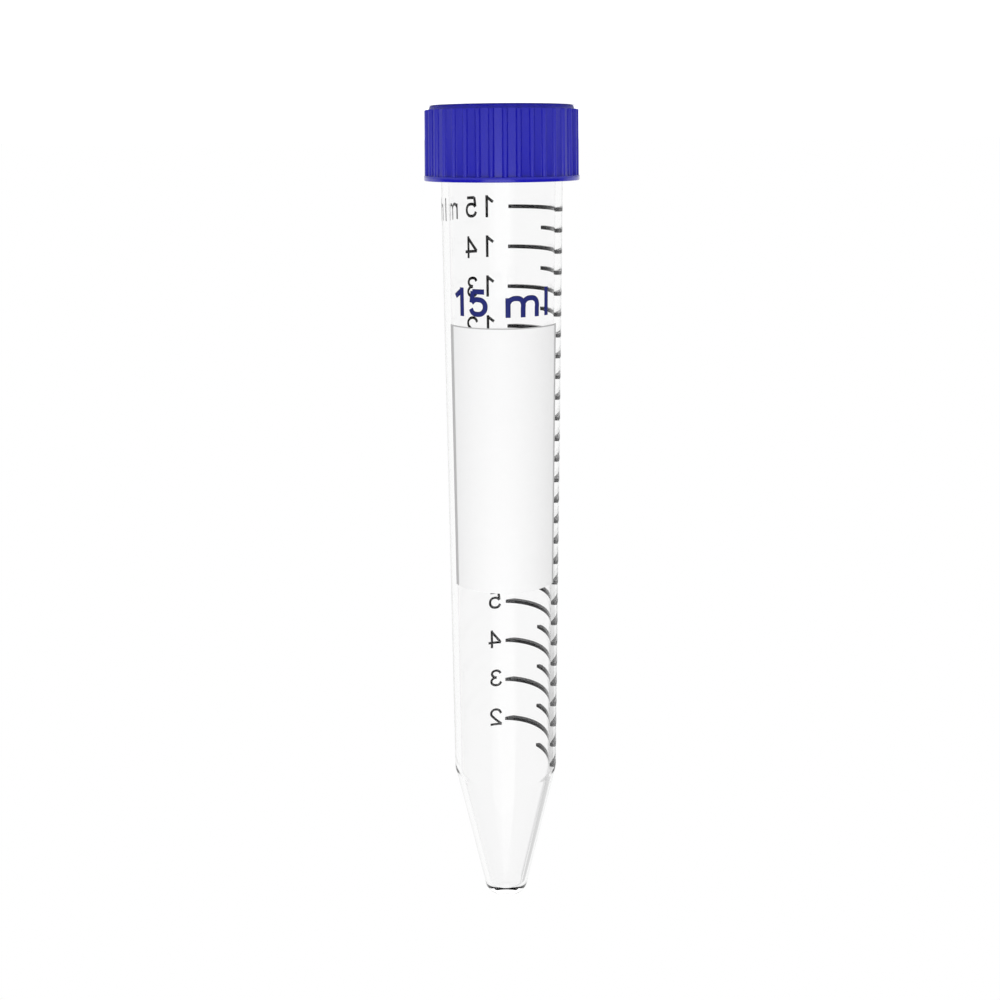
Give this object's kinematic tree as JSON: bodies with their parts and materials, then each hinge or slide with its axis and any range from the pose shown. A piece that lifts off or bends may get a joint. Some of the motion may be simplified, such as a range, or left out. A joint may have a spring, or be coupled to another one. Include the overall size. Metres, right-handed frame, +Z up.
{
  "type": "conical tube",
  "caption": "Clear plastic tube with a conical tip, a printed millilitre scale, a white writing area and a blue ribbed screw cap, for small liquid samples.",
  "frame": {"origin": "on the bench, at the centre of the cap's flat top, on the axis of the tube", "axes": "+Z up along the tube's axis, from the cap to the tip: the tube stands on its head on the flat cap, because it can't stand on its tip and rolls on its side; the writing area faces -Y"},
  "size_m": [0.0206, 0.0206, 0.119],
  "materials": {
    "clear_plastic": "clear, polished",
    "blue_plastic": "satin moulded",
    "liner_white": "soft, matt",
    "patch_white": "matt ink for writing on",
    "scale_black": "printed ink",
    "mark_navy": "printed ink"
  },
  "bodies": {
    "cap": {"cap": "blue_plastic"},
    "liner": {"cap_liner": "liner_white"},
    "tube": {"tube": "clear_plastic"}
  },
  "joints": [
    {"name": "tube_turn", "type": "hinge", "parent": "cap", "child": "liner", "pos_m": [0, 0, 0.001], "axis": [0, 0, 1], "range_deg": [0, 1080]},
    {"name": "tube_rise", "type": "slide", "parent": "liner", "child": "tube", "axis": [0, 0, 1], "range_m": [0, 0.00901]}
  ],
  "couplings": [
    {"joint": "tube_rise", "follows": "tube_turn", "m_per_rad": 0.00047746}
  ]
}
